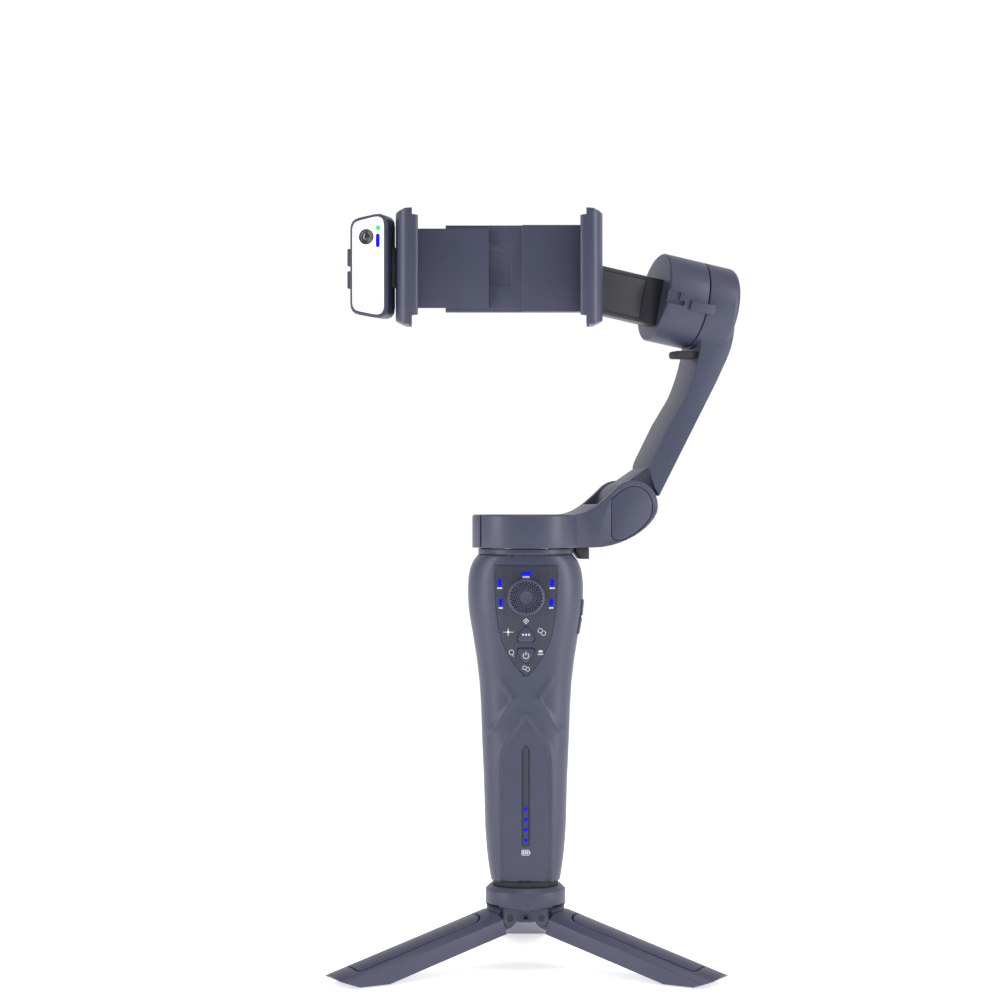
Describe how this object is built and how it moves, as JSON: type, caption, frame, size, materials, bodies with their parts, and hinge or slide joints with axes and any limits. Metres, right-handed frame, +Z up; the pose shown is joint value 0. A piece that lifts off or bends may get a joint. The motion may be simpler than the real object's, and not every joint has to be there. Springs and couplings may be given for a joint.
{
  "type": "camera gimbal",
  "caption": "Motorised handheld phone gimbal with pan, tilt and roll axes, a folding arm, a sprung phone clamp with a fill light, and a folding mini tripod.",
  "frame": {"origin": "on the pan axis, at the level of the three feet", "axes": "+Z up along the grip, +X to the right and -Y towards the user who holds the grip"},
  "size_m": [0.1694, 0.1403, 0.3076],
  "materials": {
    "body_plastic": "fine satin moulded texture",
    "panel_plastic": "satin",
    "dark_plastic": "matt",
    "arm_plastic": "semi-gloss",
    "rubber": "matt",
    "steel": "ground",
    "black_steel": "blackened",
    "brass": "turned",
    "winding": "lacquered copper winding",
    "circuit_board": "solder mask",
    "cell_wrap": "shrink wrap",
    "blue_light": "lit",
    "white_light": "lit diffuser"
  },
  "bodies": {
    "base": {"grip_front": "body_plastic", "grip_back": "body_plastic", "control_panel": "panel_plastic", "mode_leds": "blue_light", "battery_strip": "panel_plastic", "battery_leds": "blue_light", "grip_screws": "black_steel", "battery": "cell_wrap", "main_board": "circuit_board", "joystick_module": "dark_plastic", "charge_port": "steel", "grip_end_plug": "dark_plastic", "threaded_insert": "brass", "pan_motor_housing": "body_plastic", "pan_stator": "winding", "pan_bearing": "steel", "tripod_hub": "body_plastic", "hub_pad": "rubber", "tripod_screw": "steel", "leg_pins": "black_steel"},
    "joystick_ring": {"joystick_cross": "steel"},
    "joystick": {"joystick_cap": "body_plastic"},
    "mode": {"mode_button": "body_plastic"},
    "power": {"power_button": "body_plastic"},
    "zoom": {"zoom_rocker": "body_plastic"},
    "pan_arm": {"pan_arm_frame": "body_plastic", "pan_rotor": "steel", "pan_stop_tab": "dark_plastic", "front_hinge_cover": "body_plastic", "rear_hinge_cover": "body_plastic", "hinge_pin": "steel"},
    "fold_arm": {"fold_arm_beam": "body_plastic", "tilt_end_cap": "body_plastic", "tilt_stator": "winding", "tilt_bearing": "steel", "tilt_stop_tab": "body_plastic", "stop_bumper": "rubber"},
    "tilt_arm": {"tilt_rotor_housing": "body_plastic", "tilt_magnet_ring": "steel", "tilt_shaft": "steel", "roll_arm": "arm_plastic", "roll_arm_cover": "arm_plastic", "roll_back_cap": "body_plastic", "roll_stator": "winding", "roll_bearing": "steel"},
    "clamp": {"clamp_plate": "body_plastic", "roll_rotor": "steel", "right_jaw": "body_plastic", "right_pad": "rubber"},
    "sliding_jaw": {"left_jaw": "body_plastic", "left_pad": "rubber", "guide_rods": "steel", "light_bracket": "dark_plastic", "light_housing": "body_plastic", "light_face": "white_light"},
    "light_upper": {"light_button_upper": "dark_plastic"},
    "light_lower": {"light_button_lower": "dark_plastic"},
    "left_leg": {"left_leg": "body_plastic"},
    "right_leg": {"right_leg": "body_plastic"},
    "rear_leg": {"rear_leg": "body_plastic"}
  },
  "joints": [
    {"name": "pan_turn", "type": "hinge", "parent": "base", "child": "pan_arm", "pos_m": [0, 0, 0.171], "axis": [0, 0, 1], "range_deg": [-160, 160]},
    {"name": "arm_fold", "type": "hinge", "parent": "pan_arm", "child": "fold_arm", "pos_m": [0.04153, 0.01191, 0.1884], "axis": [0.2756, -0.9613, 0], "range_deg": [0, 88]},
    {"name": "tilt_turn", "type": "hinge", "parent": "fold_arm", "child": "tilt_arm", "pos_m": [0.05383, 0.01544, 0.2757], "axis": [0.9436, 0.2706, -0.1908], "range_deg": [-90, 90]},
    {"name": "roll_turn", "type": "hinge", "parent": "tilt_arm", "child": "clamp", "pos_m": [-0.01085, -0.0135, 0.2842], "axis": [0, 1, 0], "range_deg": [-90, 90]},
    {"name": "jaw_slide", "type": "slide", "parent": "clamp", "child": "sliding_jaw", "axis": [1, 0, 0], "range_m": [-0.015, 0.013], "stiffness_N_per_m": 120, "springref_m": 0.04},
    {"name": "joystick_x", "type": "hinge", "parent": "base", "child": "joystick_ring", "pos_m": [0, -0.014, 0.1517], "axis": [1, 0, 0], "range_deg": [-10, 10], "stiffness_Nm_per_rad": 0.02},
    {"name": "joystick_y", "type": "hinge", "parent": "joystick_ring", "child": "joystick", "pos_m": [0, -0.014, 0.1517], "axis": [0, 0, 1], "range_deg": [-10, 10], "stiffness_Nm_per_rad": 0.02},
    {"name": "mode_press", "type": "slide", "parent": "base", "child": "mode", "axis": [0, 1, 0], "range_m": [0, 0.0008], "stiffness_N_per_m": 800, "springref_m": -0.0005},
    {"name": "power_press", "type": "slide", "parent": "base", "child": "power", "axis": [0, 1, 0], "range_m": [0, 0.0008], "stiffness_N_per_m": 800, "springref_m": -0.0005},
    {"name": "zoom_rock", "type": "hinge", "parent": "base", "child": "zoom", "pos_m": [0.0214, -0.0046, 0.143], "axis": [0, 1, 0], "range_deg": [-3, 3], "stiffness_Nm_per_rad": 0.05},
    {"name": "light_upper_press", "type": "slide", "parent": "sliding_jaw", "child": "light_upper", "axis": [0.9563, -0.2924, 0], "range_m": [0, 0.0005], "stiffness_N_per_m": 600, "springref_m": -0.0005},
    {"name": "light_lower_press", "type": "slide", "parent": "sliding_jaw", "child": "light_lower", "axis": [0.9563, -0.2924, 0], "range_m": [0, 0.0005], "stiffness_N_per_m": 600, "springref_m": -0.0005},
    {"name": "left_leg_fold", "type": "hinge", "parent": "base", "child": "left_leg", "pos_m": [-0.01005, -0.0058, 0.0207], "axis": [0.5, -0.866, 0], "range_deg": [0, 74]},
    {"name": "right_leg_fold", "type": "hinge", "parent": "base", "child": "right_leg", "pos_m": [0.01005, -0.0058, 0.0207], "axis": [0.5, 0.866, 0], "range_deg": [0, 74]},
    {"name": "rear_leg_fold", "type": "hinge", "parent": "base", "child": "rear_leg", "pos_m": [0, 0.0116, 0.0207], "axis": [-1, 0, 0], "range_deg": [0, 74]}
  ]
}
